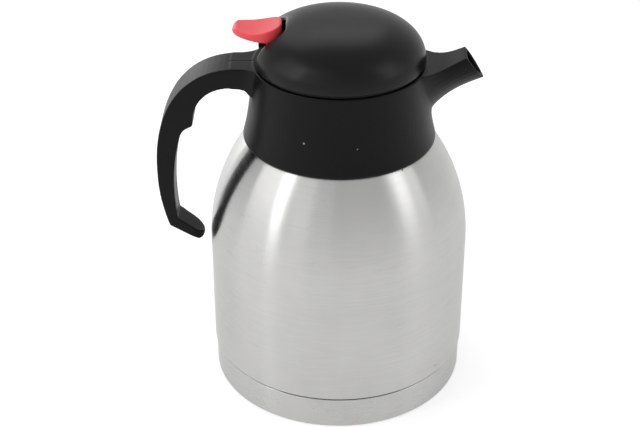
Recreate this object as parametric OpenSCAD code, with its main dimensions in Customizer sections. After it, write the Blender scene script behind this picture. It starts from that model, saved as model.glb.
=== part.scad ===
// Vacuum carafe: a double-walled steel flask under a black collar that carries
// the spout and an open handle, closed by a screw stopper under a dome. A red
// thumb lever in the dome lifts the pouring valve inside the stopper.
// Millimetres. The origin is on the axis at the underside, +Z is up, +X points
// to the spout and the handle is on the -X side.

/* [Steel body] */
// Outside radius of the body
body_r = 70; // [66:0.5:76]
// Height at which the straight side ends and the shoulder starts
side_h = 83; // [70:1:90]
// Sheet thickness of the steel pieces
steel_t = 0.6; // [0.4:0.1:0.9]
// Width of the evacuated gap between the two shells
vacuum_gap = 3; // [2:0.25:5]
// Radial half axis of the shoulder's ellipse
shoulder_a = 95; // [88:1:100]
// Upright half axis of the shoulder's ellipse
shoulder_b = 98.2; // [94:0.2:104]

/* [Base] */
// Height of the base cup
base_h = 18.3; // [12:0.1:24]
// How far the base cup stands inside the body's side
base_inset = 0.8; // [0.6:0.1:2.4]
// Height of the groove between the base cup and the body
groove_h = 0.9; // [0.5:0.1:2]
// Rounding of the base cup's lower edge
base_edge_r = 2; // [1.5:0.5:5]
// Outside radius of the raised panel under the base
base_panel_r = 54; // [30:1:60]
// How far that panel is raised
base_panel_h = 1.4; // [0.8:0.1:2]

/* [Neck] */
// Outside radius of the steel neck
neck_r = 38.2; // [37.6:0.1:39.5]
// Height of the steel lip above the collar's foot
lip_rise = 13.4; // [12:0.2:14.5]
// Thickness of the seal on the steel lip
neck_seal_t = 1.5; // [1:0.1:2]
// Thickness of the well's floor
floor_t = 2.2; // [1.6:0.1:3]
// Bore of the threaded throat
throat_r = 33.6; // [32.8:0.1:33.8]
// Length of the threaded throat below the well's floor
throat_l = 11.7; // [10.5:0.1:12.5]

/* [Thread] */
// Rise of the stopper for each full turn
thread_lead = 20; // [18:0.5:22]
// Number of thread starts
thread_starts = 3; // [2:1:3]
// Height of each thread ridge
thread_h = 1.2; // [0.8:0.1:1.4]
// Gap between the ridges and the walls that they pass
thread_gap = 0.4; // [0.3:0.05:0.6]
// Width of a ridge at its root
ridge_w = 2.4; // [1.8:0.1:2.6]

/* [Collar] */
// Height of the collar's foot above the underside
collar_z = 143.1; // [138:0.5:148]
// Height of the collar
collar_h = 42.4; // [41.6:0.2:47]
// Outside radius of the collar's rim
rim_r = 45.4; // [44.6:0.2:48]
// How far the collar's foot overhangs the shoulder
foot_lip = 0.9; // [0.5:0.1:1.5]
// Wall of the collar, the handle and the dome
wall = 2.2; // [1.8:0.1:2.4]
// Width of the bevel round the collar's rim
rim_bevel = 0.3; // [0.2:0.1:0.6]

/* [Spout] */
// Reach of the spout's lip from the axis
spout_reach = 74.6; // [70:0.2:80]
// Height of the mouth's upper edge above the rim
mouth_rise = 5.4; // [2:0.2:9]
// Height of the mouth, measured down its slope
mouth_h = 16.6; // [13:0.2:18]
// Slope of the mouth from upright, in degrees
mouth_tilt = 35.8; // [20:0.2:45]
// Width of the mouth at its upper edge
mouth_w = 14.9; // [11:0.1:20]
// Swell of the spout's sides between their upper and lower edges
spout_swell = 3.2; // [0:0.1:4]
// Wall of the spout
spout_t = 1.1; // [1:0.1:2]

/* [Handle] */
// Reach of the handle's back from the axis
handle_reach = 97.2; // [92:0.5:106]
// Height of the handle's widest point
handle_mid_z = 124; // [116:1:130]
// Height of the corner where the hook starts
hook_z = 89; // [82:0.2:96]
// Depth of the handle, from its back to its finger side
handle_t = 8.2; // [8:0.2:11]
// Height of the handle where it leaves the collar
root_h = 11.2; // [9.6:0.2:13]
// Width of the handle at its root
handle_w = 22; // [18:0.5:24]
// Width of the handle at its hook
hook_w = 14.4; // [12:0.2:18]
// Width of the hook at its tip
hook_tip_w = 13.4; // [10:0.2:16]
// Length of the hook
hook_l = 19.8; // [16:0.2:21]
// Slope of the hook's underside below level, in degrees
hook_tilt = 30.5; // [20:0.5:38]
// Thickness of the hook at the grip
hook_t = 6.5; // [4.8:0.1:7]
// Thickness of the hook at its tip
hook_tip_t = 4.4; // [3:0.1:4.8]
// Thickness of the cover strip on the finger side
strip_t = 1.9; // [1.4:0.1:2.2]
// Gap round the cover strip
strip_gap = 0.1; // [0.05:0.05:0.3]

/* [Dome] */
// Height of the dome above the collar's rim
dome_h = 24.4; // [24:0.2:30]
// How far the dome's foot stands above the rim
seam_h = 1.1; // [0.8:0.1:2]
// How far the dome's foot stands inside the rim
dome_inset = 0.6; // [0.1:0.1:1]
// Exponent of the dome's superellipse
dome_n = 2.45; // [2.3:0.05:3]
// Distance from the axis to the front of the lever slot
slot_front = 27.8; // [26.5:0.1:28.5]
// Width of the lever slot
slot_w = 24; // [22.8:0.2:28]
// Corner radius of the lever slot
slot_corner_r = 7; // [3:0.5:9]

/* [Lever] */
// Distance from the axis to the lever's outer end
lever_reach = 55.2; // [50:0.2:60]
// Width of the thumb pad
pad_w = 20; // [17:0.2:21]
// Height of the pad's outer lobe above the pivot
pad_lobe = 9.4; // [8.8:0.1:10.5]
// Height that the pad's dish bends down to
pad_dish = 7.4; // [6.8:0.1:8.6]
// Height of the pad's inner lobe above the pivot
pad_peak = 11.4; // [10.6:0.1:12.6]
// Distance from the axis to the pivot pin
pivot_x = 34; // [33:0.25:35]
// Height of the pivot pin above the rim
pivot_rise = 10.5; // [10:0.1:11]
// Radius of the pivot pin
pin_r = 1.5; // [1.2:0.1:2]
// Running clearance of the pin in the lever
pin_gap = 0.05; // [0.02:0.01:0.1]
// Width of the lever's arm
arm_w = 8; // [6:0.5:10]
// Thickness of the lever's arm
arm_t = 3.2; // [2.4:0.1:3.4]

/* [Valve] */
// Radius of the pouring port in the stopper's floor
port_r = 15; // [12:0.5:17]
// Radius of the valve stem
stem_r = 3; // [2.4:0.1:3.2]
// Running clearance of the stem in its guide
stem_gap = 0.06; // [0.03:0.01:0.1]
// Wire radius of the return spring
wire_r = 0.6; // [0.5:0.05:0.8]
// Mean radius of the return spring
spring_r = 8; // [7.6:0.1:9]
// Number of turns of the return spring
spring_turns = 7; // [5:1:9]
// Gap that parts keep from each other where one moves
move_gap = 0.3; // [0.2:0.05:0.4]

/* [Hidden] */
$fn = 96;
steps = 16;

// Steel body
shoulder_axis = body_r - shoulder_a;
inner_r = body_r - steel_t - vacuum_gap;
base_r = body_r - base_inset;
step_r = base_r - steel_t - 0.1;
step_z = base_h + groove_h;
plate_z = 4;
plate_flange = 3;
flask_floor_z = 8;
lip_z = collar_z + lip_rise;
neck_foot_z = lip_z - 6;
neck_in_r = neck_r - 2 * steel_t - 0.6;
bead_r = neck_r + 0.6;

// Throat and well
floor_z = lip_z + neck_seal_t;
well_z = floor_z + floor_t;
throat_wall = neck_in_r - 0.3 - throat_r;
rim_z = collar_z + collar_h;
rim_bore_r = rim_r - wall;
ledge_h = 1.2;
skirt_t = 2.4;

// Stopper
tube_r = throat_r - thread_h - thread_gap;
tube_t = 2.4;
cup_z = floor_z - 11;
cup_floor_t = 2.5;
seat_h = 0.7;
seat_z = cup_z + cup_floor_t + seat_h;
gasket_z = well_z + move_gap;
gasket_t = 1.4;
flange_z = gasket_z + gasket_t + 0.1;
flange_t = 2;
flange_r = throat_r + 2.4;
deck_z = rim_z - 5;
deck_t = 3;
deck_r = rim_bore_r - 0.9;
deck_top = deck_z + deck_t;
ledge_r = rim_r - 1.6;
dome_z = rim_z + seam_h;
dome_r = rim_r - dome_inset;
window_z = flange_z + flange_t + 1.5;
window_h = deck_z - 3.5 - window_z;
window_n = 6;
window_w = 22;
window_turn = 30;

// Thread
ridge_a = 100;
ridge_start = 7;
ridge_z = floor_z - 7.5;
lug_a = 50;
lug_start = 20;
lug_drop = 2.2;

// Valve and lever
pivot_z = rim_z + pivot_rise;
arm_top = pivot_z + 2;
cap_z = arm_top + move_gap;
cap_t = 2;
cap_r = stem_r + 3.5;
plug_z = seat_z + 0.2;
seal_t = 2;
plug_t = 3;
plug_r = port_r + 3.5;
plug_top = plug_z + seal_t + plug_t;
plug_hub_r = spring_r - wire_r - 1.3;
plug_hub_h = 4;
boss_h = 3.5;
ear_t = 2.2;
ear_r = pin_r + 1.3;
hub_r = pin_r + 2;
hub_w = pad_w - 6.6;
ear_y = hub_w / 2 + move_gap;
pad_foot = ear_r + 0.4;

// Points on a cubic Bezier curve from a to d
function bezier(a, b, c, d, n = steps) = [for (i = [0:n]) let (t = i / n, s = 1 - t)
    s * s * s * a + 3 * s * s * t * b + 3 * s * t * t * c + t * t * t * d];
// A list of points in the opposite order
function flip(list) = [for (i = [len(list) - 1:-1:0]) list[i]];
// Two curves that share a point, as one path
function joined(a, b) = concat(a, [for (i = [1:len(b) - 1]) b[i]]);
// Points moved by d along the left-hand normal of their path
function shifted(path, d) = [for (i = [0:len(path) - 1]) let (
    before = path[max(i - 1, 0)],
    after = path[min(i + 1, len(path) - 1)],
    along = (after - before) / norm(after - before))
    path[i] + d * [-along[1], along[0]]];

// Height and radius on the outside of the shoulder
function shoulder_z(r) = side_h + shoulder_b * sqrt(1 - pow((r - shoulder_axis) / shoulder_a, 2));
function shoulder_r(z) = shoulder_axis + shoulder_a * sqrt(1 - pow((z - side_h) / shoulder_b, 2));
collar_r = shoulder_r(collar_z);

// Upper outline of a shell whose wall stands d inside the body's outside
function shell_top(d, neck) = [
    for (i = [0:steps]) let (z = side_h + (collar_z - side_h) * i / steps) [shoulder_r(z) - d, z - d * i / steps],
    [neck + 6, neck_foot_z - 3.4 - d],
    [neck + 1.5, neck_foot_z - 2 - d],
    [neck, neck_foot_z - d]];

module solid_of(points) rotate_extrude() polygon(points);

// Outer steel shell, stepped in behind the base cup and open at both ends
module outer_shell() {
    outside = concat([[step_r, plate_z], [step_r, step_z], [body_r - 0.8, step_z], [body_r, step_z + 0.8]],
        shell_top(0, neck_r), [[neck_r, lip_z - steel_t]]);
    inside = concat([[step_r - steel_t, plate_z], [step_r - steel_t, step_z + steel_t],
        [body_r - steel_t, step_z + steel_t + 0.8]],
        shell_top(steel_t, neck_r - steel_t), [[neck_r - steel_t, lip_z - steel_t]]);
    color("silver") solid_of(concat(outside, flip(inside)));
}

// Deep-drawn inner flask, with a lip that laps the outer shell's neck
module inner_flask() {
    gap = steel_t + vacuum_gap;
    bottom_r = 12;
    outside = concat([[0, flask_floor_z]], bezier([inner_r - bottom_r, flask_floor_z],
        [inner_r - bottom_r / 2, flask_floor_z], [inner_r, flask_floor_z + bottom_r / 2],
        [inner_r, flask_floor_z + bottom_r], 8),
        shell_top(gap, neck_in_r + steel_t), [[neck_in_r + steel_t, lip_z - 4],
        [neck_r - steel_t, lip_z - 2], [neck_r - steel_t, lip_z - steel_t], [bead_r, lip_z - steel_t]]);
    inside = concat([[0, flask_floor_z + steel_t]], bezier([inner_r - bottom_r, flask_floor_z + steel_t],
        [inner_r - bottom_r / 2, flask_floor_z + steel_t], [inner_r - steel_t, flask_floor_z + bottom_r / 2],
        [inner_r - steel_t, flask_floor_z + bottom_r], 8),
        shell_top(gap + steel_t, neck_in_r), [[neck_in_r, lip_z - 4],
        [neck_in_r + 0.5, lip_z - 1.5], [neck_in_r + 0.5, lip_z], [bead_r, lip_z]]);
    color("gainsboro") solid_of(concat(outside, flip(inside)));
}

// Dished plate welded into the outer shell's lower end
module bottom_plate() {
    edge_r = step_r - steel_t;
    color("silver") difference() {
        solid_of([[0, plate_z], [edge_r, plate_z], [edge_r, plate_z + plate_flange],
            [edge_r - steel_t, plate_z + plate_flange],
            [edge_r - 2 * steel_t, plate_z + steel_t], [0, plate_z + steel_t]]);
        translate([0, 0, plate_z - 1]) cylinder(r = 1, h = steel_t + 2);
    }
}

// Getter tablet on the plate, inside the vacuum
module getter()
    color("dimgray") translate([24, 0, plate_z + steel_t]) cylinder(r = 5, h = 1.6);

// Bead that closes the evacuation hole
module vacuum_bead()
    color("darkgoldenrod") translate([0, 0, plate_z - 0.8]) cylinder(r = 3.5, h = 0.8);

// Drawn base cup that the carafe stands on
module base_cup() {
    r = base_edge_r;
    outside = concat([[0, base_panel_h], [base_panel_r - 1.5, base_panel_h], [base_panel_r, 0]],
        [for (i = [0:6]) let (a = 15 * i) [base_r - r + r * sin(a), r - r * cos(a)]],
        [[base_r, base_h - 0.4], [base_r - 0.4, base_h]]);
    inside = concat([[0, base_panel_h + steel_t], [base_panel_r - 1.3, base_panel_h + steel_t],
        [base_panel_r + 0.2, steel_t]],
        [for (i = [0:6]) let (a = 15 * i, q = r - steel_t) [base_r - r + q * sin(a), r - q * cos(a)]],
        [[base_r - steel_t, base_h]]);
    color("silver") solid_of(concat(outside, flip(inside)));
}

// Outline of the collar's outside, foot first
collar_curve = bezier([collar_r + foot_lip, collar_z + 1.4], [rim_r + 2.6, collar_z + 12],
    [rim_r + 1, collar_z + 26], [rim_r, rim_z - rim_bevel]);
// Inside radius of the collar at height z
function bore_at(z) = lookup(z, [for (p = collar_curve) [p[1], p[0] - wall]]);

// The space inside the collar, with a ledge that the insert pushes against
module collar_bore() {
    foot_r = collar_r + foot_lip - wall;
    foot_z = shoulder_z(foot_r) + 0.05;
    lower = [for (p = collar_curve) if (p[1] > foot_z && p[1] < well_z) [p[0] - wall, p[1]]];
    upper = [for (p = collar_curve) if (p[1] > well_z + ledge_h + 1) [p[0] - wall, p[1]]];
    solid_of(concat([[0, collar_z - 5], [collar_r + 0.05, collar_z - 5], [collar_r + 0.05, collar_z + 0.05],
        [foot_r, foot_z]], lower, [[bore_at(well_z), well_z], [bore_at(well_z) - 1.3, well_z],
        [bore_at(well_z) - 1.3, well_z + ledge_h], [bore_at(well_z + ledge_h + 1), well_z + ledge_h + 1]],
        upper, [[rim_bore_r, rim_z], [rim_bore_r, rim_z + 5], [0, rim_z + 5]]));
}

// Spout sections: upper edge, keel and half width along the spout
mouth_top = [spout_reach - mouth_h * sin(mouth_tilt), rim_z + mouth_rise];
mouth_keel = [spout_reach, mouth_top[1] - mouth_h * cos(mouth_tilt)];
spout_n = 24;
spout_edge = bezier([38, rim_z + 0.3], [51, rim_z - 2.5], [mouth_top[0] - 8.8, mouth_top[1] - 4],
    mouth_top, spout_n);
spout_keel = bezier([40, well_z - 16.2], [49, well_z + 6], [mouth_keel[0] - 14.7, mouth_keel[1] - 5.8],
    mouth_keel, spout_n);
mouth_half = mouth_w / 2;
spout_half = [for (p = bezier([22, 0], [mouth_half + 3.5, 0], [mouth_half + 1.1, 0], [mouth_half, 0], spout_n)) p[0]];

// One side of a section of the spout, drawn in by d on every side, from its
// upper edge down to its keel
side_n = 6;
function spout_side(i, d) = let (
    e = spout_edge[i], k = spout_keel[i], w = spout_half[i],
    h = norm(k - e), down = (k - e) / h,
    top = e + d * down,
    low = k - 1.9 * d * down,
    top_w = w * (1 - d / h) - d * sqrt(1 + pow(w / h, 2)),
    low_w = 1.2 - 0.375 * d)
    [for (j = [0:side_n]) let (t = j / side_n, p = top + t * (low - top))
        [p[0], top_w + t * (low_w - top_w) + 4 * spout_swell * t * (1 - t), p[1]]];
function spout_ring(i, d) = let (side = spout_side(i, d))
    concat(side, flip([for (p = side) [p[0], -p[1], p[2]]]));

// Solid through the spout's sections, run out past the mouth by extra
module spout_solid(d, extra) {
    rings = [for (i = [0:spout_n]) spout_ring(i, d)];
    ahead = extra * [cos(mouth_tilt), 0, sin(mouth_tilt)];
    last = [for (p = rings[spout_n]) p + ahead];
    all = extra > 0 ? concat(rings, [last]) : rings;
    n = len(all) - 1;
    s = 2 * side_n + 2;
    points = [for (ring = all) for (p = ring) p];
    sides = [for (i = [0:n - 1]) for (j = [0:s - 1]) let (k = (j + 1) % s)
        each [[s * i + j, s * i + k, s * i + s + k], [s * i + j, s * i + s + k, s * i + s + j]]];
    first = [for (j = [0:side_n - 1]) each [[j, s - 1 - j, s - 2 - j], [j, s - 2 - j, j + 1]]];
    end = [for (j = [0:side_n - 1]) each [[s * n + j, s * n + s - 2 - j, s * n + s - 1 - j],
        [s * n + j, s * n + j + 1, s * n + s - 2 - j]]];
    polyhedron(points, concat(first, sides, end));
}

// Handle outlines in the X-Z plane, from the collar down to the hook
handle_top = rim_z - 0.3;
arch_z = handle_top - root_h;
back_x = -handle_reach;
grip_x = back_x + handle_t;
grip_z = handle_mid_z + 4;
hook_dir = [cos(hook_tilt), -sin(hook_tilt)];
hook_up = [sin(hook_tilt), cos(hook_tilt)];
hook_heel = [back_x + 5, hook_z];
hook_inner = hook_heel + hook_t * hook_up + 1.4 * hook_dir;
hook_end = hook_heel + (hook_l - hook_tip_t / 2) * hook_dir + hook_tip_t / 2 * hook_up;
bump = [grip_x + 12.2, grip_z + 24.3];
arch_x = back_x + 40.9;
back_curve = joined(
    bezier([back_x + 45.2, handle_top], [back_x + 16.2, handle_top], [back_x, handle_mid_z + 38],
        [back_x, handle_mid_z], 24),
    bezier([back_x, handle_mid_z], [back_x, handle_mid_z - 14], [back_x + 1.4, hook_z + 12.4], hook_heel));
hook_round = [for (a = [-90:18:90]) hook_end + hook_tip_t / 2 * (cos(a) * hook_dir + sin(a) * hook_up)];
notch = [grip_x + 4.9, grip_z + 16.2];
low_grip = bezier(hook_inner, [grip_x - 0.6, hook_z + 21.8], [grip_x, grip_z - 1], notch);
bump_curve = bezier(notch, [grip_x + 6, grip_z + 21], [grip_x + 8.4, grip_z + 21.8], bump - [0.8, 1.2], 6);
arch_curve = bezier(bump, [grip_x + 12.3, grip_z + 38.5], [arch_x - 11.5, arch_z], [arch_x, arch_z], 24);
root_low = [-rim_r - 0.6, arch_z - 3.4];
root_curve = bezier([arch_x + 4, arch_z - 0.1], [arch_x + 9, arch_z - 0.3], root_low + [-2.8, 2.2], root_low, 6);
finger_curve = joined(low_grip, concat(bump_curve, arch_curve));
// Back of the cover strip, which passes behind the finger stop
strip_curve = concat(
    bezier(hook_inner + [-strip_t - 0.4, 2], [grip_x - strip_t - 0.6, hook_z + 22],
        [grip_x - strip_t, grip_z], [grip_x - strip_t + 5, grip_z + 18]),
    bezier([grip_x - strip_t + 7.6, grip_z + 24.5], [grip_x - strip_t + 11, grip_z + 38],
        [arch_x - 11.5, arch_z + strip_t], [arch_x, arch_z + strip_t], 24));
// Inside of the handle's back wall, above the hook
hollow_curve = [for (p = shifted(back_curve, wall)) if (p[0] < arch_x - 4 && p[1] > hook_z + 8) p];

// A plate in the X-Z plane that narrows from the root to the hook and on to the
// hook's tip, drawn in by d on both sides
module tapered(points, d) intersection() {
    edge = [[handle_w / 2, rim_z + 2], [handle_w / 2, handle_top], [hook_w / 2, hook_z + 8], [hook_w / 2, hook_z + 4],
        [hook_tip_w / 2, hook_end[1] + hook_tip_w / 2 * tan(hook_tilt)], [hook_tip_w / 2, hook_end[1] - hook_l]];
    rotate([90, 0, 0]) translate([0, 0, -handle_w]) linear_extrude(2 * handle_w) polygon(points);
    rotate([90, 0, 90]) translate([0, 0, -handle_reach - 5]) linear_extrude(handle_reach + 5)
        polygon(concat([for (p = edge) p - [d, 0]], flip([for (p = edge) [d - p[0], p[1]]])));
}

// Room for the cover strip and the fingers, on the finger side of a curve
module finger_side(curve, x, z, side) intersection() {
    tapered(concat(curve, [[x, z]]), side);
    translate([-handle_reach, -handle_w, z]) cube([handle_reach + x, 2 * handle_w, collar_h + handle_reach]);
}

// Corners outside the round end of the hook, as seen from above
module hook_corners() {
    r = hook_tip_w / 2;
    translate([hook_end[0] + hook_tip_t / 2 - r, 0, hook_end[1] - hook_l]) difference() {
        translate([0, -hook_w, 0]) cube([hook_w, 2 * hook_w, 1.5 * hook_l]);
        translate([0, 0, -1]) cylinder(r = r, h = 2 * hook_l);
    }
}

module handle_solid() difference() {
    tapered(concat([[-rim_bore_r, handle_top]], back_curve, hook_round, finger_curve, root_curve,
        [[-rim_bore_r, root_low[1]]]), 0);
    hook_corners();
    finger_side(strip_curve, arch_x, hook_inner[1] + 2, wall);
    finger_side(hollow_curve, arch_x - 4, hook_z + 8, wall + 1);
}

// Fillets that run the handle's sides into the collar
flare_x = arch_x;
flare_curve = bezier([flare_x, handle_w / 2], [flare_x + 8, handle_w / 2], [-rim_r + 1, handle_w / 2 + 1.5],
    [-rim_r + 5, handle_w / 2 + 8], 8);
module handle_flare() intersection() {
    rotate([90, 0, 0]) translate([0, 0, -rim_r]) linear_extrude(2 * rim_r)
        polygon(concat([[flare_x, handle_top], [flare_x, arch_z]], root_curve,
            [[-rim_bore_r + 3, root_low[1]], [-rim_bore_r + 3, handle_top]]));
    translate([0, 0, collar_z]) linear_extrude(collar_h)
        polygon(concat(flare_curve, flip([for (p = flare_curve) [p[0], -p[1]]])));
}

// Fine crease along the middle of the handle's top, near the collar
crease = [18, 0.6, 0.4];

// The channel through the spout, whose floor is never lower than the well's
module spout_channel() intersection() {
    spout_solid(spout_t, 2);
    translate([0, -rim_r, well_z]) cube([2 * spout_reach, 2 * rim_r, 2 * collar_h]);
}

// One moulding: collar, spout and handle
module collar() color("#2b2b2b") difference() {
    union() {
        solid_of(concat([[0, collar_z], [collar_r, collar_z]], collar_curve, [[rim_r - rim_bevel, rim_z], [0, rim_z]]));
        spout_solid(0, 0);
        handle_solid();
        handle_flare();
    }
    collar_bore();
    spout_channel();
    translate([arch_x - 6, -crease[1] / 2, handle_top - crease[2]]) cube(crease + [0, 0, 1]);
}

// Cover strip on the finger side of the handle
module handle_strip() {
    side = wall + strip_gap;
    low_z = hook_inner[1] + 2 + strip_gap;
    color("#333333") intersection() {
        tapered(concat(finger_curve, flip(strip_curve)), side);
        translate([-handle_reach, -handle_w, low_z])
            cube([handle_reach + arch_x - strip_gap, 2 * handle_w, collar_h + handle_reach]);
    }
}

// A helical ridge from radius r to tip, over an angle, centred on height z
module ridge(r, tip, z, start, span) {
    n = ceil(span / 10);
    root_w = ridge_w / 2;
    tip_w = root_w - 0.5;
    function at(i) = let (a = start + span * i / n, c = cos(a), s = sin(a), h = z + thread_lead * a / 360)
        [[r * c, r * s, h - root_w], [tip * c, tip * s, h - tip_w],
         [tip * c, tip * s, h + tip_w], [r * c, r * s, h + root_w]];
    points = [for (i = [0:n]) each at(i)];
    sides = [for (i = [0:n - 1]) for (j = [0:3]) let (k = (j + 1) % 4)
        each [[4 * i + j, 4 * i + k, 4 * i + 4 + k], [4 * i + j, 4 * i + 4 + k, 4 * i + 4 + j]]];
    faces = concat([[0, 3, 2], [0, 2, 1]], sides, [[4 * n, 4 * n + 1, 4 * n + 2], [4 * n, 4 * n + 2, 4 * n + 3]]);
    polyhedron(points, r > tip ? [for (f = faces) flip(f)] : faces);
}

// Floor of the well, with the stopper's thread inside the steel neck and a
// skirt that grips the neck from outside
module throat_insert() {
    out_r = throat_r + throat_wall;
    skirt_r = bead_r + 0.3;
    color("#3a3a3a") union() {
        solid_of([[throat_r, floor_z - throat_l + floor_t], [out_r, floor_z - throat_l + floor_t], [out_r, floor_z],
            [skirt_r, floor_z], [skirt_r, lip_z - 5], [skirt_r + skirt_t, lip_z - 5], [skirt_r + skirt_t, floor_z],
            [bore_at(floor_z) - 0.3, floor_z], [bore_at(well_z) - 0.1, well_z - 0.05], [throat_r, well_z - 0.05]]);
        for (k = [0:thread_starts - 1]) rotate(360 / thread_starts * k)
            ridge(throat_r + 0.6, throat_r - thread_h, ridge_z, ridge_start, ridge_a);
    }
}

// Seal between the steel lip and the well's floor
module neck_seal() {
    seal_r = neck_in_r + 0.6;
    color("whitesmoke") solid_of([[seal_r, lip_z], [bead_r, lip_z], [bead_r, floor_z], [seal_r, floor_z]]);
}

// Flat ring under the stopper's flange, which doesn't turn with it
module stopper_gasket() color("whitesmoke") translate([0, 0, gasket_z]) difference() {
    cylinder(r = flange_r - 0.3, h = gasket_t);
    translate([0, 0, -1]) cylinder(r = tube_r + 0.35, h = gasket_t + 2);
}

// Threaded cup of the stopper, with the valve's seat in its floor and
// windows that let the drink out into the well
module stopper_cup() color("#444444") difference() {
    union() {
        solid_of([[port_r, cup_z], [tube_r - 1, cup_z], [tube_r, cup_z + 1], [tube_r, flange_z],
            [flange_r, flange_z], [flange_r, flange_z + flange_t], [tube_r, flange_z + flange_t], [tube_r, deck_z],
            [tube_r - tube_t, deck_z], [tube_r - tube_t, cup_z + cup_floor_t],
            [port_r + 2, cup_z + cup_floor_t], [port_r + 1.2, seat_z], [port_r, seat_z]]);
        for (k = [0:thread_starts - 1]) rotate(360 / thread_starts * k)
            ridge(tube_r - 0.6, tube_r + thread_h, ridge_z - lug_drop, lug_start, lug_a);
    }
    for (k = [0:window_n - 1]) rotate(360 / window_n * k + window_turn)
        translate([tube_r - tube_t - 4, -window_w / 2, window_z]) cube([tube_t + 8, window_w, window_h]);
}

// Deck of the lid: closes the cup, guides the stem and carries the lever's ears
module lid_deck() color("#303030") difference() {
    union() {
        solid_of([[0, deck_z], [tube_r - tube_t - 2, deck_z], [tube_r - tube_t - 2, deck_z - 2.5],
            [tube_r - tube_t - 0.1, deck_z - 2.5], [tube_r - tube_t - 0.1, deck_z],
            [deck_r, deck_z], [deck_r, deck_z + 0.6], [deck_r - 1.5, deck_z + 0.6], [deck_r - 1.5, deck_z + 2.2],
            [deck_r, deck_z + 2.2], [deck_r, rim_z + 0.3], [ledge_r, rim_z + 0.3], [ledge_r, dome_z],
            [dome_r - wall - 0.2, dome_z], [dome_r - wall - 0.2, dome_z + 2.6], [deck_r - 2, dome_z + 2.6],
            [deck_r - 2, deck_top], [0, deck_top]]);
        translate([0, 0, deck_z - boss_h]) cylinder(r = stem_r + 2, h = deck_t + 2 * boss_h);
        for (side = [-1, 1]) translate([-pivot_x, side * (ear_y + ear_t / 2), 0]) rotate([90, 0, 0])
            translate([0, 0, -ear_t / 2]) union() {
                translate([0, pivot_z, 0]) cylinder(r = ear_r, h = ear_t);
                translate([-ear_r, deck_top - 1, 0]) cube([2 * ear_r, pivot_z - deck_top + 1, ear_t]);
            }
    }
    translate([0, 0, deck_z - 10]) cylinder(r = stem_r + stem_gap, h = deck_t + 20);
    translate([-pivot_x, 0, pivot_z]) rotate([90, 0, 0])
        cylinder(r = pin_r, h = 2 * ear_y + 4 * ear_t, center = true);
}

// Soft ring in the deck's edge, which keeps splashes inside the well
module deck_gasket() {
    lip_r = rim_bore_r - move_gap;
    color("whitesmoke") solid_of([[deck_r - 1.5, deck_z + 0.6], [deck_r, deck_z + 0.6], [lip_r, deck_z + 1.2],
        [lip_r, deck_z + 1.6], [deck_r, deck_z + 2.2], [deck_r - 1.5, deck_z + 2.2]]);
}

// Superellipse outline of the dome, drawn in by d
function dome_curve(d) = [for (i = [0:2 * steps]) let (a = 90 * i / (2 * steps))
    [(dome_r - d) * pow(cos(a), 2 / dome_n), rim_z + (dome_h - d) * pow(sin(a), 2 / dome_n)]];

// Dome over the mechanism, open at the back for the lever
module dome_cover() color("#2e2e2e") difference() {
    solid_of(concat(dome_curve(0), flip(dome_curve(wall))));
    translate([0, 0, rim_z - 10]) cylinder(r = rim_r + 10, h = seam_h + 10);
    lever_slot();
}

// The lever's slot: a plan outline cut down through the dome
module lever_slot() translate([0, 0, rim_z - 5]) union() {
    c = slot_corner_r;
    translate([-slot_front - c, c - slot_w / 2, 0]) cylinder(r = c, h = dome_h + 10);
    translate([-slot_front - c, slot_w / 2 - c, 0]) cylinder(r = c, h = dome_h + 10);
    translate([-slot_front - c, c - slot_w / 2, 0]) cube([c, slot_w - 2 * c, dome_h + 10]);
    translate([-lever_reach - 10, -slot_w / 2, 0]) cube([lever_reach + 10 - slot_front - c, slot_w, dome_h + 10]);
}

// Steel pin through the ears and the lever
module lever_pin() color("silver") translate([-pivot_x, 0, pivot_z]) rotate([90, 0, 0])
    cylinder(r = pin_r, h = 2 * (ear_y + ear_t), center = true);

// Side outline of the thumb pad, from its outer end along the top
pad_in = -slot_front - 1.9;
pad_out = -lever_reach;
pad_l = pad_in - pad_out;
lobe_z = pivot_z + pad_lobe;
peak_z = pivot_z + pad_peak;
foot_z = pivot_z + pad_foot;
pad_top = concat([[pad_out, lobe_z - 2.5], [pad_out + 0.3, lobe_z - 1.4], [pad_out + 1.2, lobe_z - 0.5]],
    bezier([pad_out + 2.6, lobe_z], [pad_out + 0.37 * pad_l, pivot_z + pad_dish],
        [pad_in - 0.45 * pad_l, pivot_z + pad_dish + 0.3], [pad_in - 1, peak_z]),
    [[pad_in - 0.3, peak_z - 0.2], [pad_in, peak_z - 0.8]]);
pad_under = [[pad_in, foot_z], [pad_in - 0.31 * pad_l, foot_z], [pad_out + 0.51 * pad_l, foot_z + 0.7],
    [pad_out + 0.26 * pad_l, foot_z + 2], [pad_out + 0.6, lobe_z - 3.1]];

// Plan outline of the thumb pad: an oval that is squarer at its inner end
module pad_plan() polygon([for (i = [0:59]) let (a = 6 * i, c = cos(a), s = sin(a), q = c > 0 ? 0.74 : 0.95)
    [pad_l / 2 * sign(c) * pow(abs(c), q), pad_w / 2 * sign(s) * pow(abs(s), q)]]);

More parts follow.
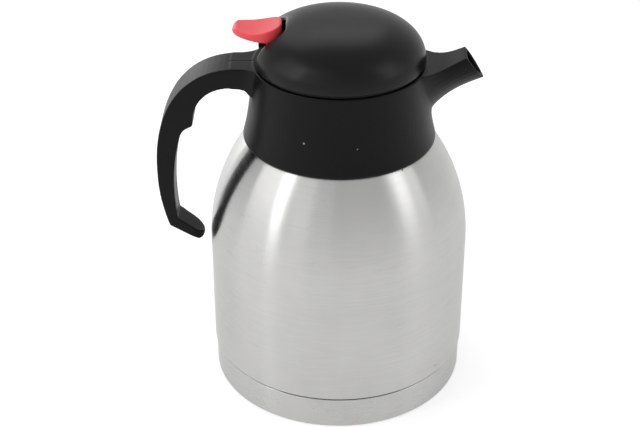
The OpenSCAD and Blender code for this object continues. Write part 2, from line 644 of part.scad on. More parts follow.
// Thumb pad, pivot hub and forked arm in one moulding
module thumb_lever() color("#e4545c") difference() {
    union() {
        intersection() {
            rotate([90, 0, 0]) translate([0, 0, -pad_w / 2]) linear_extrude(pad_w)
                polygon(concat(pad_top, pad_under));
            translate([(pad_in + pad_out) / 2, 0, pivot_z]) linear_extrude(dome_h) pad_plan();
        }
        translate([-pivot_x, 0, pivot_z]) rotate([90, 0, 0]) cylinder(r = hub_r, h = hub_w, center = true);
        translate([-pivot_x - hub_r, -hub_w / 2, pivot_z])
            cube([pad_in + pivot_x + hub_r, hub_w, pad_foot + 0.5]);
        translate([-pivot_x, -arm_w / 2, arm_top - arm_t]) cube([pivot_x - cap_r, arm_w, arm_t]);
        translate([-cap_r - 2, -cap_r, arm_top - arm_t]) cube([cap_r + 4, 2 * cap_r, arm_t]);
    }
    translate([-pivot_x, 0, pivot_z]) rotate([90, 0, 0])
        cylinder(r = pin_r + pin_gap, h = hub_w + 2, center = true);
    translate([-stem_r - 1, -stem_r - 0.6, arm_top - arm_t - 1])
        cube([cap_r + 10, 2 * stem_r + 1.2, arm_t + 2]);
    translate([-stem_r - 1, 0, arm_top - arm_t - 1]) cylinder(r = stem_r + 0.6, h = arm_t + 2);
}

// Stem that ties the valve to the lever
module valve_stem() color("silver") translate([0, 0, plug_z + seal_t])
    cylinder(r = stem_r, h = cap_z + cap_t - 0.6 - plug_z - seal_t);

// Snapped-on cap that the lever's fork lifts
module stem_cap() color("#3a3a3a") difference() {
    cap_top = cap_z + cap_t;
    solid_of([[0, cap_z], [cap_r, cap_z], [cap_r, cap_top - 0.6], [cap_r - 0.8, cap_top], [0, cap_top]]);
    translate([0, 0, cap_z - 1]) cylinder(r = stem_r, h = cap_t + 0.4);
}

// Valve disc, and the seal under it
module valve_plug() color("#555555") difference() {
    solid_of([[0, plug_z + seal_t], [plug_r, plug_z + seal_t], [plug_r, plug_top - 1], [plug_r - 1, plug_top],
        [plug_hub_r, plug_top], [plug_hub_r, plug_top + plug_hub_h], [0, plug_top + plug_hub_h]]);
    translate([0, 0, plug_z + seal_t - 1]) cylinder(r = stem_r, h = plug_t + plug_hub_h + 2);
}

module valve_seal() color("whitesmoke") translate([0, 0, plug_z]) difference() {
    cylinder(r = plug_r - 0.5, h = seal_t);
    translate([0, 0, -1]) cylinder(r = port_r - 4, h = seal_t + 2);
}

// Return spring between the valve disc and the deck: one helix of round wire
spring_low = plug_top + wire_r;
spring_high = deck_z - wire_r;
spring_rings = 8 * spring_turns;
wire_sides = 6;
spring_pitch = (spring_high - spring_low) / spring_turns;
echo(least_gap_between_turns = spring_pitch - 2 * wire_r);
module valve_spring() {
    points = [for (i = [0:spring_rings]) let (a = 45 * i, h = spring_low + spring_pitch * i / 8)
        for (j = [0:wire_sides - 1]) let (b = 360 / wire_sides * j, r = spring_r + wire_r * cos(b))
            [r * cos(a), r * sin(a), h + wire_r * sin(b)]];
    s = wire_sides;
    sides = [for (i = [0:spring_rings - 1]) for (j = [0:s - 1]) let (k = (j + 1) % s)
        each [[s * i + j, s * i + s + k, s * i + k], [s * i + j, s * i + s + j, s * i + s + k]]];
    first = [for (j = [1:s - 2]) [0, j, j + 1]];
    last = [for (j = [1:s - 2]) [s * spring_rings, s * spring_rings + j + 1, s * spring_rings + j]];
    color("silver") polyhedron(points, concat(first, sides, last));
}

outer_shell();
inner_flask();
bottom_plate();
getter();
vacuum_bead();
base_cup();
collar();
handle_strip();
throat_insert();
neck_seal();
stopper_gasket();
stopper_cup();
lid_deck();
deck_gasket();
dome_cover();
lever_pin();
thumb_lever();
valve_stem();
valve_plug();
valve_seal();
stem_cap();
valve_spring();
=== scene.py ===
import math

import bmesh
import bpy
import numpy as np
from mathutils import Matrix, Vector


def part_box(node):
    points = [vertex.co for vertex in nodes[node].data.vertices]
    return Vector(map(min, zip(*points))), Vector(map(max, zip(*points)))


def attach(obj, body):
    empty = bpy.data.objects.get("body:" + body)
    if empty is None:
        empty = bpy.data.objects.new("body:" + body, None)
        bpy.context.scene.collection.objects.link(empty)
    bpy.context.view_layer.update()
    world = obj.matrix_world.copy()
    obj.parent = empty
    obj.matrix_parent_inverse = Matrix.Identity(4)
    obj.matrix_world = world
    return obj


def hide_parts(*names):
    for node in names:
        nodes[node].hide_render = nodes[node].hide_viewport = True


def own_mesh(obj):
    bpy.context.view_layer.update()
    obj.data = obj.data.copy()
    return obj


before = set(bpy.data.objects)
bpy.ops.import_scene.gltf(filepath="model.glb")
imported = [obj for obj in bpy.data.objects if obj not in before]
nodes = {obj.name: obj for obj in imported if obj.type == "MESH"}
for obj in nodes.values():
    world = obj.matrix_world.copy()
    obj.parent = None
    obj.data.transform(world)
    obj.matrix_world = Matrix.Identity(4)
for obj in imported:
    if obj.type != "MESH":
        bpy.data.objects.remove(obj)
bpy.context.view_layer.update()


# Outer steel shell. It is drawn from 0.6 mm stainless sheet, spun in at the
# shoulder and brushed round its axis. The step at its lower end lets the base
# cup slide on from below, with a fine groove between the two.
MM = 0.001
body_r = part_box("outer_shell")[1].x / MM
body_foot_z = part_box("outer_shell")[0].z / MM
lip_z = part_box("inner_flask")[1].z / MM
base_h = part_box("base_cup")[1].z / MM
base_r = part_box("base_cup")[1].x / MM
lip_rise = 13.4
collar_z = lip_z - lip_rise
steel_t = 0.6
groove_h = 0.9
side_h = 83.0
shoulder_a = 95.0
shoulder_b = 98.2
neck_r = 38.2


def arc(centre, radius, start, end, steps=8):
    """Points on a round in the (radius, height) plane, with angles in degrees."""
    angles = [math.radians(start + (end - start) * i / steps) for i in range(steps + 1)]
    return [(centre[0] + radius * math.cos(a), centre[1] + radius * math.sin(a)) for a in angles]


def piece_of(name, bm, sharp=35):
    """A shaded object from a bmesh in millimetres, with its place in its mesh."""
    bmesh.ops.scale(bm, vec=(MM, MM, MM), verts=bm.verts)
    mesh = bpy.data.meshes.new(name)
    bm.to_mesh(mesh)
    bm.free()
    mesh.shade_smooth()
    mesh.set_sharp_from_angle(angle=math.radians(sharp))
    piece = bpy.data.objects.new(name, mesh)
    bpy.context.scene.collection.objects.link(piece)
    return piece


def turned(outline, steps=192):
    """A closed (radius, height) outline turned about the carafe's axis."""
    bm = bmesh.new()
    verts = [bm.verts.new((r, 0, z)) for r, z in outline]
    edges = [bm.edges.new((verts[i - 1], verts[i])) for i in range(len(verts))]
    bmesh.ops.spin(bm, geom=verts + edges, cent=(0, 0, 0), axis=(0, 0, 1), angle=2 * math.pi,
                   steps=steps, use_merge=True)
    bmesh.ops.remove_doubles(bm, verts=bm.verts, dist=1e-4)
    bmesh.ops.dissolve_degenerate(bm, dist=1e-5, edges=bm.edges)
    bmesh.ops.delete(bm, geom=[edge for edge in bm.edges if edge.is_wire], context="EDGES")
    bmesh.ops.recalc_face_normals(bm, faces=bm.faces)
    return bm


def shoulder(z):
    """Radius of the shoulder's outside at a height."""
    return body_r - shoulder_a + shoulder_a * math.sqrt(1 - ((z - side_h) / shoulder_b) ** 2)


def node_of(tree, kind, **values):
    """A shader node whose named sockets take the values or the links given."""
    node = tree.nodes.new("ShaderNode" + kind)
    for key, value in values.items():
        socket = node.inputs[int(key[1:]) if key[1:].isdigit() else key.replace("_", " ")]
        if isinstance(value, bpy.types.NodeSocket):
            tree.links.new(value, socket)
        else:
            socket.default_value = value
    return node


def math_of(tree, operation, a, b=0.0):
    """The result of one sum in a shader tree."""
    node = node_of(tree, "Math", _0=a, _1=b)
    node.operation = operation
    return node.outputs[0]


def ramp_of(tree, factor, low, high, start=0.0, end=1.0):
    """A mask mapped from low..high to start..end, with soft ends."""
    node = node_of(tree, "MapRange", Value=factor, From_Min=low, From_Max=high, To_Min=start, To_Max=end)
    node.interpolation_type = "SMOOTHSTEP"
    return node.outputs[0]


def group_of(name, takes, gives):
    """An empty shader group with named number inputs and outputs."""
    tree = bpy.data.node_groups.new(name, "ShaderNodeTree")
    for label, value in takes.items():
        tree.interface.new_socket(label, in_out="INPUT", socket_type="NodeSocketFloat").default_value = value
    for label in gives:
        tree.interface.new_socket(label, in_out="OUTPUT", socket_type="NodeSocketFloat")
    return tree, tree.nodes.new("NodeGroupInput").outputs, tree.nodes.new("NodeGroupOutput").inputs


def use(tree, group, **values):
    """A placed shader group, as its outputs."""
    node = tree.nodes.new("ShaderNodeGroup")
    node.node_tree = group
    for label, value in values.items():
        node.inputs[label].default_value = value
    return node.outputs


def material_of(name, colour, **constants):
    """A material, its tree and its shader, with plain values on the shader."""
    material = bpy.data.materials.new(name)
    material.use_nodes = True
    tree = material.node_tree
    surface = tree.nodes["Principled BSDF"]
    surface.inputs["Base Color"].default_value = (*colour, 1)
    for label, value in constants.items():
        surface.inputs[label.replace("_", " ")].default_value = value
    return material, tree, surface


def tinted(tree, colour, other, mask):
    """A colour, plain or linked, that turns to another under a mask."""
    node = tree.nodes.new("ShaderNodeMix")
    node.data_type = "RGBA"
    for label, value in (("A", colour), ("B", other)):
        if isinstance(value, bpy.types.NodeSocket):
            tree.links.new(value, node.inputs[label])
        else:
            node.inputs[label].default_value = (*value, 1)
    tree.links.new(mask, node.inputs["Factor"])
    return node.outputs["Result"]


def relief(tree, surface, height, depth):
    """Gives a surface a relief of a depth in metres."""
    bump = node_of(tree, "Bump", Height=height, Strength=1.0, Distance=depth)
    tree.links.new(bump.outputs[0], surface.inputs["Normal"])


def make_brushing():
    """Fine lines that run round the axis, as a brush leaves on a turning body."""
    tree, takes, gives = group_of("brushing", {"Lines": 900.0, "Round": 3.0}, ["Height", "Sheen"])
    place = tree.nodes.new("ShaderNodeTexCoord").outputs["Object"]
    part = node_of(tree, "SeparateXYZ", Vector=place).outputs
    across = math_of(tree, "SQRT", math_of(tree, "ADD", math_of(tree, "MULTIPLY", part[0], part[0]),
                                           math_of(tree, "MULTIPLY", part[1], part[1])))
    across = math_of(tree, "MAXIMUM", across, 0.001)
    turn_x = math_of(tree, "MULTIPLY", math_of(tree, "DIVIDE", part[0], across), takes["Round"])
    turn_y = math_of(tree, "MULTIPLY", math_of(tree, "DIVIDE", part[1], across), takes["Round"])
    lean = math_of(tree, "MULTIPLY", across, 0.4)
    along = math_of(tree, "MULTIPLY", math_of(tree, "SUBTRACT", part[2], lean), takes["Lines"])
    lines = node_of(tree, "CombineXYZ", X=turn_x, Y=turn_y, Z=along).outputs[0]
    fine = node_of(tree, "TexNoise", Vector=lines, Scale=1.0, Detail=4.0, Roughness=0.65).outputs[0]
    broad_place = node_of(tree, "CombineXYZ", X=turn_x, Y=turn_y,
                          Z=math_of(tree, "MULTIPLY", along, 0.03)).outputs[0]
    broad = node_of(tree, "TexNoise", Vector=broad_place, Scale=1.0, Detail=3.0).outputs[0]
    half_fine = math_of(tree, "MULTIPLY", fine, 0.5)
    half_broad = math_of(tree, "MULTIPLY", broad, 0.5)
    tree.links.new(fine, gives["Height"])
    tree.links.new(math_of(tree, "ADD", half_fine, half_broad), gives["Sheen"])
    return tree


def make_specks():
    """Sparse small spots: dust on plastic, pits and tiny scuffs on steel."""
    tree, takes, gives = group_of("specks", {"Scale": 200.0, "Size": 0.12, "Share": 0.1}, ["Mask"])
    place = tree.nodes.new("ShaderNodeTexCoord").outputs["Object"]
    cells = node_of(tree, "TexVoronoi", Vector=place, Scale=takes["Scale"])
    pick = node_of(tree, "SeparateColor", Color=cells.outputs["Color"]).outputs[0]
    chosen = math_of(tree, "LESS_THAN", pick, takes["Share"])
    near = math_of(tree, "LESS_THAN", cells.outputs["Distance"], takes["Size"])
    tree.links.new(math_of(tree, "MULTIPLY", chosen, near), gives["Mask"])
    return tree


brushing = make_brushing()
specks = make_specks()
pit_grey = (0.12, 0.12, 0.12)
# Dark grey painted on steel below a given height: on the shell it is painted shade in the groove above the
# base cup.
foot_and_groove_shade_grey = (0.05, 0.05, 0.05)


def brushed_steel(name, colour, roughness, lines=900.0, depth=0.0000012, pit_share=0.06, darkened_below=0.0):
    """Satin stainless with its grain round the axis, a few small pits, and dark grey painted below a given
    height, which on the shell is painted shade in the groove above the base cup.
    """
    material, tree, surface = material_of(name, colour, Metallic=1.0, Anisotropic=1.0,
                                          Anisotropic_Rotation=0.25)
    grain = use(tree, brushing, Lines=lines)
    pits = use(tree, specks, Scale=95.0, Size=0.05, Share=pit_share)["Mask"]
    tone = tinted(tree, tuple(c * 0.97 for c in colour), tuple(min(1.0, c * 1.03) for c in colour),
                  ramp_of(tree, grain["Sheen"], 0.3, 0.7))
    place = tree.nodes.new("ShaderNodeTexCoord").outputs["Object"]
    height = node_of(tree, "SeparateXYZ", Vector=place).outputs[2]
    # Painted shade: below this height the steel turns dark grey, standing in for the shade in the groove
    # between shell and base cup.
    foot_and_groove_shade_mask = ramp_of(tree, height, (darkened_below - 0.1) * MM, (darkened_below + 0.1) * MM, 1.0, 0.0)
    tone = tinted(tree, tone, pit_grey, pits)
    tree.links.new(tinted(tree, tone, foot_and_groove_shade_grey, foot_and_groove_shade_mask), surface.inputs["Base Color"])
    tree.links.new(ramp_of(tree, grain["Sheen"], 0.25, 0.75, roughness + 0.02, roughness - 0.02),
                   surface.inputs["Roughness"])
    tangent = tree.nodes.new("ShaderNodeTangent")
    tangent.direction_type = "RADIAL"
    tangent.axis = "Z"
    tree.links.new(tangent.outputs[0], surface.inputs["Tangent"])
    relief(tree, surface, grain["Height"], depth)
    return material


def dress(piece, material, body, slot, *replaced):
    """Gives a new piece its finish, the body that it rides on and the nodes it stands for."""
    piece.data.materials.clear()
    piece.data.materials.append(material)
    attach(piece, body)
    if replaced:
        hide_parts(*replaced)


slide_gap = 0.1
step_r = base_r - steel_t - slide_gap
step_z = base_h + groove_h
step_round = 0.4
foot_round = 0.8
side_rows = (30, 45, 60, 72)
shoulder_steps = 64
neck_start_z = 140
shoulder_line = [(shoulder(z), z) for z in (side_h + (collar_z - side_h) * i / shoulder_steps
                                            for i in range(shoulder_steps + 1))]
neck_line = [(neck_r + 6, lip_z - 9.4), (neck_r + 1.5, lip_z - 8), (neck_r, lip_z - 6),
             (neck_r, lip_z - steel_t)]
step_line = ([(step_r, body_foot_z), (step_r, step_z - step_round)]
             + arc((step_r + step_round, step_z - step_round), step_round, 180, 90, 4))
foot_line = ([(body_r - foot_round - 0.1, step_z)]
             + arc((body_r - foot_round, step_z + foot_round), foot_round, -90, 0))
side_line = [(body_r, z) for z in side_rows]
shell_outside = step_line + foot_line + side_line + shoulder_line + neck_line
shell_inside = [(r - steel_t, z - steel_t if z > neck_start_z else z)
                for r, z in reversed(shell_outside)]
# The shell's step below the groove is painted dark grey, as painted shade in the groove.
shell_steel = brushed_steel("shell_steel", (0.67, 0.667, 0.66), 0.26, darkened_below=step_z)
shell = piece_of("steel_shell", turned(shell_outside + shell_inside))
dress(shell, shell_steel, "carafe", "satin_steel", "outer_shell")


# Inner flask. It is deep-drawn from the same sheet and polished inside, and its
# lip is rolled over the shell's neck and welded there, so that the space between
# the two can be pumped out.
def coated(material, *names):
    """Gives CAD nodes that show their own shape their finish."""
    for name in names:
        nodes[name].data.materials.clear()
        nodes[name].data.materials.append(material)


flask_steel = brushed_steel("flask_steel", (0.62, 0.615, 0.605), 0.24, lines=500.0, pit_share=0.02)
coated(flask_steel, "inner_flask")


# Closing plate of the vacuum space, pressed from sheet and welded into the
# shell's lower end. A getter tablet of pressed metal powder lies on it, and a
# bead of braze closes the hole through which the space was pumped out.
plate_steel = brushed_steel("plate_steel", (0.5, 0.495, 0.485), 0.3, lines=300.0, pit_share=0.12)
coated(plate_steel, "bottom_plate")


def pressed_powder(name, colour, other, roughness, grain, depth, **constants):
    """A dull mass of grains, lighter and darker from grain to grain."""
    material, tree, surface = material_of(name, colour, **constants)
    place = tree.nodes.new("ShaderNodeTexCoord").outputs["Object"]
    grains = node_of(tree, "TexNoise", Vector=place, Scale=grain, Detail=5.0, Roughness=0.6).outputs[0]
    tone = tinted(tree, colour, other, ramp_of(tree, grains, 0.35, 0.65))
    dull = ramp_of(tree, grains, 0.3, 0.7, roughness - 0.08, roughness + 0.08)
    tree.links.new(tone, surface.inputs["Base Color"])
    tree.links.new(dull, surface.inputs["Roughness"])
    relief(tree, surface, grains, depth)
    return material


getter_powder = pressed_powder("getter_powder", (0.09, 0.09, 0.095), (0.2, 0.2, 0.21), roughness=0.7,
                               grain=2600.0, depth=0.00008, Metallic=0.6)
braze = pressed_powder("braze_bead", (0.42, 0.3, 0.12), (0.56, 0.43, 0.2), roughness=0.34, grain=700.0,
                       depth=0.00006, Metallic=1.0)
coated(getter_powder, "getter")
coated(braze, "vacuum_bead")


# Base cup, drawn from the same sheet and pushed over the shell's step. It has a
# rounded lower edge and a raised panel under it, and its brushing is its own.
edge_r = 2.0
panel_r = 54.0
panel_h = 1.4
cup_rows = (8, 13)
cup_lip = 0.35
panel_line = [(0, panel_h), (panel_r - 2.2, panel_h), (panel_r - 1, panel_h - 0.45), (panel_r, 0)]
cup_outside = (panel_line + arc((base_r - edge_r, edge_r), edge_r, -90, 0, 12)
               + [(base_r, z) for z in cup_rows] + [(base_r, base_h - cup_lip - 0.05)]
               + arc((base_r - cup_lip, base_h - cup_lip), cup_lip, 0, 90, 4))
panel_top = panel_h + steel_t
cup_inside = ([(base_r - steel_t, base_h), (base_r - steel_t, edge_r)]
              + arc((base_r - edge_r, edge_r), edge_r - steel_t, 0, -90, 12)
              + [(panel_r + 0.4, steel_t), (panel_r - 0.8, panel_top), (0, panel_top)])
base_steel = brushed_steel("base_steel", (0.66, 0.657, 0.65), 0.27)
base = piece_of("steel_base", turned(cup_outside + cup_inside))
dress(base, base_steel, "carafe", "satin_steel_base", "base_cup")


# Threaded throat and floor of the well, moulded in dark grey polypropylene. It
# is pressed on over the steel neck, onto a soft ring of pale silicone.
def make_moulded_skin():
    """The fine skin that an eroded mould gives plastic, with slow unevenness."""
    tree, takes, gives = group_of("moulded_skin", {"Grain": 3000.0, "Patches": 40.0}, ["Height", "Gloss"])
    place = tree.nodes.new("ShaderNodeTexCoord").outputs["Object"]
    grain = node_of(tree, "TexNoise", Vector=place, Scale=takes["Grain"], Detail=2.0).outputs[0]
    patches = node_of(tree, "TexNoise", Vector=place, Scale=takes["Patches"], Detail=4.0).outputs[0]
    fine_part = math_of(tree, "MULTIPLY", grain, 0.4)
    patch_part = math_of(tree, "MULTIPLY", patches, 0.6)
    tree.links.new(grain, gives["Height"])
    tree.links.new(math_of(tree, "ADD", fine_part, patch_part), gives["Gloss"])
    return tree


moulded_skin = make_moulded_skin()


def moulded(name, colour, pale, roughness, dust=0.03, depth=0.00001, **constants):
    """Moulded plastic with a fine skin, uneven gloss and a little dust."""
    material, tree, surface = material_of(name, colour, **constants)
    skin = use(tree, moulded_skin)
    motes = use(tree, specks, Scale=110.0, Size=0.06, Share=dust)["Mask"]
    tone = tinted(tree, colour, tuple(c * 1.3 for c in colour), ramp_of(tree, skin["Gloss"], 0.35, 0.65))
    tree.links.new(tinted(tree, tone, pale, motes), surface.inputs["Base Color"])
    tree.links.new(ramp_of(tree, skin["Gloss"], 0.3, 0.7, roughness - 0.04, roughness + 0.04),
                   surface.inputs["Roughness"])
    relief(tree, surface, skin["Height"], depth)
    return material


dust_grey = (0.3, 0.3, 0.3)
inner_grey = moulded("inner_grey", (0.03, 0.03, 0.031), dust_grey, 0.5, dust=0.0)
pale_silicone = moulded("pale_silicone", (0.6, 0.59, 0.56), (0.7, 0.7, 0.7), 0.42, dust=0.0,
                        depth=0.000004, Subsurface_Weight=0.3, Subsurface_Scale=0.002)
coated(inner_grey, "throat_insert")
coated(pale_silicone, "neck_seal")


# Collar, spout and handle: one moulding in black polypropylene with a fine
# spark-eroded skin. Its corners are softened as the mould leaves them, and a fine
# crease runs along the top of the handle where the two mould halves meet.
def applied(piece):
    """The piece's mesh with its modifiers worked in."""
    mesh = bpy.data.meshes.new_from_object(piece.evaluated_get(bpy.context.evaluated_depsgraph_get()))
    piece.modifiers.clear()
    return mesh


def softened(name, node, voxel, passes):
    """A copy of a CAD node's mesh with its corners rounded off, in one even skin."""
    bm = bmesh.new()
    bm.from_mesh(nodes[node].data)
    bmesh.ops.remove_doubles(bm, verts=bm.verts, dist=2e-6)
    mesh = bpy.data.meshes.new(name)
    bm.to_mesh(mesh)
    bm.free()
    piece = bpy.data.objects.new(name, mesh)
    bpy.context.scene.collection.objects.link(piece)
    remesh = piece.modifiers.new("even", "REMESH")
    remesh.mode = "VOXEL"
    remesh.voxel_size = voxel * MM
    bm = bmesh.new()
    bm.from_mesh(applied(piece))
    for _ in range(passes):
        bmesh.ops.smooth_vert(bm, verts=bm.verts, factor=0.5, use_axis_x=True, use_axis_y=True,
                              use_axis_z=True)
    bm.to_mesh(mesh)
    bm.free()
    mesh.shade_smooth()
    return piece


def filleted(piece, low, high, passes):
    """Fills the inner corners between two places, alike on both sides, as a mould's fillets do."""
    mesh = piece.data
    place = np.empty(3 * len(mesh.vertices))
    normal = np.empty(3 * len(mesh.vertices))
    ends = np.empty(2 * len(mesh.edges), dtype=np.int64)
    mesh.vertices.foreach_get("co", place)
    mesh.vertices.foreach_get("normal", normal)
    mesh.edges.foreach_get("vertices", ends)
    place, normal, ends = place.reshape(-1, 3), normal.reshape(-1, 3), ends.reshape(-1, 2)
    folded = place * [1, 0, 1] + abs(place) * [0, 1, 0]
    inside = np.all((folded > np.array(low) * MM) & (folded < np.array(high) * MM), axis=1)
    near, ends = np.unique(ends[inside[ends].any(axis=1)], return_inverse=True)
    a, b = ends.reshape(-1, 2).T
    spot, outward, free = place[near], normal[near], inside[near]
    count = np.bincount(a, minlength=len(near)) + np.bincount(b, minlength=len(near))
    for _ in range(passes):
        middle = np.stack([np.bincount(a, spot[b, k], len(near)) + np.bincount(b, spot[a, k], len(near))
                           for k in range(3)], axis=1) / count[:, None]
        fill = np.maximum(((middle - spot) * outward).sum(axis=1), 0) * free
        spot += 0.5 * fill[:, None] * outward
    place[near] = spot
    mesh.vertices.foreach_set("co", place.ravel())
    mesh.update()


def thinned(piece, share):
    """Takes away the faces that the piece's flat places can spare."""
    thin = piece.modifiers.new("thin", "DECIMATE")
    thin.ratio = share
    piece.data = applied(piece)
    piece.data.shade_smooth()


crease_start = -58.5
crease_end = -43.6
crease_half = 0.35
crease_depth = 0.45
crease_band = 2.0
crease_margin = 0.5
fade_in = 4.0
fade_out = 2.0


def creased(piece, top_z):
    """Presses the fine crease into the middle of the handle's top."""
    bm = bmesh.new()
    bm.from_mesh(piece.data)
    low_z = (top_z - crease_band) * MM
    for side in (-1, 0, 1):
        near = []
        for face in bm.faces:
            x, y, z = face.calc_center_median()
            if (face.normal.z > 0.7 and abs(y) < crease_band * MM and z > low_z
                    and crease_start * MM < x < crease_end * MM):
                near.append(face)
        around = list({e for f in near for e in f.edges}) + list({v for f in near for v in f.verts})
        bmesh.ops.bisect_plane(bm, geom=near + around, dist=1e-7, plane_co=(0, side * crease_half * MM, 0),
                               plane_no=(0, 1, 0))
    for vert in bm.verts:
        x = vert.co.x / MM
        in_line = abs(vert.co.y) < 1e-6 and vert.co.z > low_z
        if in_line and crease_start + crease_margin < x < crease_end - crease_margin:
            fade = min(1.0, (x - crease_start) / fade_in, (crease_end - x) / fade_out)
            vert.co.z -= crease_depth * fade * MM
    bm.to_mesh(piece.data)
    bm.free()
    piece.data.shade_smooth()


mouth_rise = 5.4
rim_drop = 0.3
rim_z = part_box("collar")[1].z / MM - mouth_rise
spout_root = ((34, -1, 142), (62, 27, rim_z - 1))
handle_root = ((-62, -1, 158), (-38, 24, rim_z - 1.5))
black = moulded("black_plastic", (0.0018, 0.0018, 0.0019), dust_grey, 0.36, dust=0.08,
                Specular_IOR_Level=0.2)
collar = softened("collar_moulding", "collar", voxel=0.44, passes=3)
filleted(collar, *spout_root, passes=400)
filleted(collar, *handle_root, passes=260)
thinned(collar, share=0.37)
creased(collar, rim_z - rim_drop)
dress(collar, black, "carafe", "black_moulding", "collar")


# Cover strip on the finger side of the handle. It is moulded in the same plastic
# from a smoother mould and clipped into the hollow grip.
strip_black = moulded("strip_plastic", (0.0045, 0.0045, 0.0047), dust_grey, 0.34, Specular_IOR_Level=0.3)
strip = softened("grip_strip", "handle_strip", voxel=0.45, passes=4)
dress(strip, strip_black, "carafe", "black_strip", "handle_strip")


# Stopper: a cup in dark grey polypropylene with three thread lugs and windows,
# over a flat silicone ring. The black deck closes it from above, carries the
# lever's ears and holds a soft ring against splashes.
deck_black = moulded("deck_plastic", (0.012, 0.012, 0.0125), dust_grey, 0.5, dust=0.0,
                     Specular_IOR_Level=0.25)
coated(pale_silicone, "stopper_gasket", "deck_gasket")
coated(inner_grey, "stopper_cup")
coated(deck_black, "lid_deck")


# Pouring valve: a ground stainless stem with a moulded disc, a silicone seal
# under the disc and a cap that is snapped on for the lever's fork to lift.
def ground_rod(name, colour, roughness):
    """Ground stainless rod, with fine cross-hatched lines."""
    material, tree, surface = material_of(name, colour, Metallic=1.0)
    place = tree.nodes.new("ShaderNodeTexCoord").outputs["Object"]
    lines = node_of(tree, "Mapping", Vector=place, Scale=(400, 400, 9000)).outputs[0]
    marks = node_of(tree, "TexNoise", Vector=lines, Scale=1.0, Detail=3.0).outputs[0]
    tone = tinted(tree, tuple(c * 0.9 for c in colour), colour, marks)
    dull = ramp_of(tree, marks, 0.3, 0.7, roughness - 0.05, roughness + 0.05)
    tree.links.new(tone, surface.inputs["Base Color"])
    tree.links.new(dull, surface.inputs["Roughness"])
    relief(tree, surface, marks, 0.000002)
    return material


rod_steel = ground_rod("rod_steel", (0.58, 0.575, 0.565), 0.26)
coated(rod_steel, "valve_stem", "lever_pin")
coated(inner_grey, "valve_plug", "stem_cap")
coated(pale_silicone, "valve_seal")


# Return spring, wound from 1.2 mm stainless wire with closed end turns. It sits
# between the valve's disc and the deck. In the carafe it shortens as the lever lifts the valve; here it is
# wound at one length and rides with the stopper.
wire_r = 0.6
spring_r = 8.0
spring_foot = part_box("valve_spring")[0].z / MM
spring_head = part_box("valve_spring")[1].z / MM
free_turns = 5
end_pitch = 2.1 * wire_r
free_pitch = (spring_head - spring_foot - 2 * wire_r - 2 * end_pitch) / free_turns
turn_steps = 40

bm = bmesh.new()
wire_end = Matrix.Translation((spring_r, 0, spring_foot + wire_r)) @ Matrix.Rotation(math.pi / 2, 4, "X")
section = bmesh.ops.create_circle(bm, cap_ends=True, segments=12, radius=wire_r, matrix=wire_end)["verts"]
disc_faces = {f for v in section for f in v.link_faces}
disc_edges = {e for v in section for e in v.link_edges}
section = list(disc_faces) + list(disc_edges) + section
for turns, pitch in ((1, end_pitch), (free_turns, free_pitch), (1, end_pitch)):
    section = bmesh.ops.spin(bm, geom=section, cent=(0, 0, 0), axis=(0, 0, 1), steps=turn_steps * turns,
                             angle=2 * math.pi * turns, dvec=(0, 0, pitch / turn_steps))["geom_last"]
bmesh.ops.remove_doubles(bm, verts=bm.verts, dist=1e-4)
bmesh.ops.recalc_face_normals(bm, faces=bm.faces)
spring_wire = ground_rod("spring_wire", (0.5, 0.495, 0.485), 0.3)
spring = piece_of("return_spring", bm, sharp=60)
dress(spring, spring_wire, "stopper", "spring_wire", "valve_spring")
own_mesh(spring)


# Thumb lever, moulded in red polypropylene in one piece: a dished pad, a hub that
# turns on the steel pin in the deck's ears, and a fork that holds the valve's stem.
dust_pink = (0.95, 0.6, 0.6)
red = moulded("red_plastic", (0.9, 0.08, 0.092), dust_pink, 0.38, dust=0.01, Specular_IOR_Level=0.5)
lever = softened("red_lever", "thumb_lever", voxel=0.3, passes=4)
dress(lever, red, "lever", "red_moulding", "thumb_lever")


# Dome of the lid, moulded in the collar's black plastic with a slot at its back
# for the lever. It is snapped over the deck's edge and turns with it.
dome_black = moulded("dome_plastic", (0.0015, 0.0015, 0.0016), dust_grey, 0.31, dust=0.08,
                     Specular_IOR_Level=0.31)
dome = softened("dome_moulding", "dome_cover", voxel=0.6, passes=5)
dress(dome, dome_black, "stopper", "black_dome", "dome_cover")


# The camera stands where the photographer stood, well above the lid. A tall softbox
# and a paler scrim stand on either side, two dim screens stand left of the camera,
# a wide softbox hangs behind the carafe and a low one stands at its rear left.
camera_data = bpy.data.cameras.new("camera")
camera_data.lens = 81.48
camera_data.sensor_width = 36
camera = bpy.data.objects.new("camera", camera_data)
bpy.context.scene.collection.objects.link(camera)
camera.location = (0, -0.6804, 0.5054)
camera.rotation_euler = (math.radians(58.8), 0, math.radians(0.86))
bpy.context.scene.camera = camera


lamp_aim = Vector((0, 0, 0.12))


def softbox(name, azimuth, elevation, distance, width, height, glow):
    """A rectangular lamp that faces the carafe: degrees, metres, and its brightness in a mirror."""
    data = bpy.data.lights.new(name, "AREA")
    data.shape = "RECTANGLE"
    data.size = width
    data.size_y = height
    data.energy = glow * math.pi * width * height
    lamp = bpy.data.objects.new(name, data)
    bpy.context.scene.collection.objects.link(lamp)
    a, e = math.radians(azimuth), math.radians(elevation)
    away = Vector((math.sin(a) * math.cos(e), -math.cos(a) * math.cos(e), math.sin(e)))
    lamp.location = lamp_aim + away * distance
    lamp.rotation_euler = away.to_track_quat("Z", "Y").to_euler()
    lamp.visible_camera = False


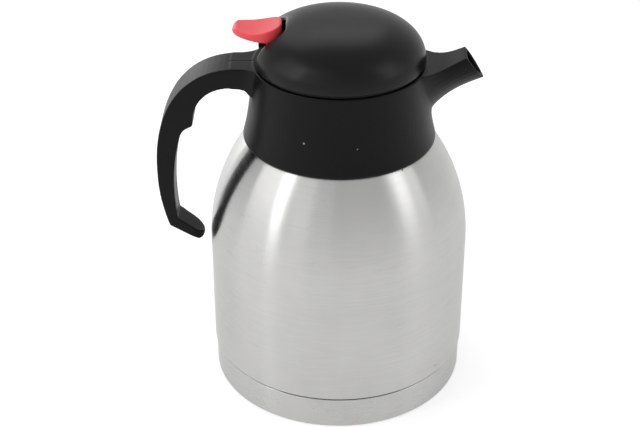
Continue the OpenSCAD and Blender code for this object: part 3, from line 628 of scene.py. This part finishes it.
softbox("left_softbox", azimuth=-59, elevation=28, distance=1.3, width=0.22, height=0.9, glow=2.1)
softbox("left_scrim", azimuth=-76, elevation=30, distance=1.35, width=0.85, height=1.2, glow=0.8)
softbox("left_screen", azimuth=-37, elevation=32, distance=1.3, width=0.45, height=1.2, glow=0.25)
softbox("front_screen", azimuth=-25, elevation=30, distance=1.3, width=0.8, height=1.1, glow=0.12)
softbox("right_softbox", azimuth=68, elevation=28, distance=1.3, width=0.36, height=0.8, glow=0.7)
softbox("right_scrim", azimuth=78, elevation=30, distance=1.35, width=0.65, height=1.1, glow=0.5)
softbox("back_softbox", azimuth=190, elevation=50, distance=1.4, width=1.2, height=0.7, glow=0.85)
softbox("rear_left_softbox", azimuth=-150, elevation=10, distance=1.4, width=0.8, height=0.5, glow=1.5)


# The table is a sheet of white paper that runs on behind, with no edge in sight.
# The room is white too, and dimmer where it lights the carafe.
def ray_level(tree, plain, seen, mirrored):
    """A strength that differs for what the camera sees and what shines back."""
    rays = tree.nodes.new("ShaderNodeLightPath").outputs
    shine = math_of(tree, "MAXIMUM", rays["Is Glossy Ray"], rays["Is Transmission Ray"])
    level = plain
    for ray, strength in ((rays["Is Camera Ray"], seen), (shine, mirrored)):
        change = math_of(tree, "MULTIPLY", ray, math_of(tree, "SUBTRACT", strength, plain))
        level = math_of(tree, "ADD", level, change)
    return level


floor_half = 2500
bm = bmesh.new()
bmesh.ops.create_grid(bm, x_segments=1, y_segments=1, size=floor_half)
floor = piece_of("floor", bm)
paper, tree, surface = material_of("floor_paper", (0.8, 0.8, 0.8), Roughness=0.9, Specular_IOR_Level=0.0)
surface.inputs["Emission Color"].default_value = (1, 1, 1, 1)
paper_light = ray_level(tree, plain=0.0, seen=0.5, mirrored=0.25)
tree.links.new(paper_light, surface.inputs["Emission Strength"])
floor.data.materials.append(paper)

world = bpy.data.worlds.new("world")
bpy.context.scene.world = world
world.use_nodes = True
tree = world.node_tree
tree.nodes.clear()
way = tree.nodes.new("ShaderNodeTexCoord").outputs["Generated"]
upward = node_of(tree, "SeparateXYZ", Vector=way).outputs[2]
wall = ramp_of(tree, upward, -0.1, 0.6, start=0.72, end=0.52)
room_light = ray_level(tree, plain=0.55, seen=1.0, mirrored=wall)
sky = node_of(tree, "Background", Color=(1, 1, 1, 1), Strength=room_light)
out = tree.nodes.new("ShaderNodeOutputWorld")
tree.links.new(sky.outputs[0], out.inputs["Surface"])

bpy.context.scene.view_settings.view_transform = "Standard"
